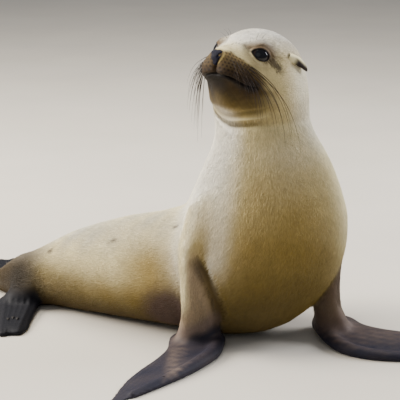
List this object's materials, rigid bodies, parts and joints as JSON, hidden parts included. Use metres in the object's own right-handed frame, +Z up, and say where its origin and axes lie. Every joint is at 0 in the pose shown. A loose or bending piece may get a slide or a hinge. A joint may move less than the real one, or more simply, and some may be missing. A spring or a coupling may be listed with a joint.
{
  "type": "sea lion model",
  "caption": "Life-size still model of a young sea lion sitting up on a floor, head turned, with its flippers spread flat.",
  "frame": {"origin": "on the floor, at the middle of the flat where the belly rests", "axes": "+Z up, -Y the way the chest faces, +X the animal's left"},
  "size_m": [0.9026, 0.7129, 0.5114],
  "materials": {
    "coat": "short flat fur, cream on the back and golden tan on the chest",
    "flipper_skin": "bare wrinkled blue-black skin",
    "nose_skin": "bare moist black skin",
    "eye": "wet dark brown eye",
    "claw": "dull dark horn",
    "whisker": "smooth stiff bristle"
  },
  "bodies": {
    "root": {"head": "coat", "muzzle": "coat", "lower_jaw": "coat", "nose": "nose_skin", "ear_left": "coat", "ear_right": "coat", "eye_left": "eye", "eye_right": "eye", "neck": "coat", "chest": "coat", "abdomen": "coat", "hips": "coat", "tail": "coat", "arm_left": "coat", "arm_right": "coat", "foreflipper_left": "flipper_skin", "foreflipper_right": "flipper_skin", "hind_flipper_left": "flipper_skin", "hind_flipper_right": "flipper_skin"}
  },
  "joints": []
}
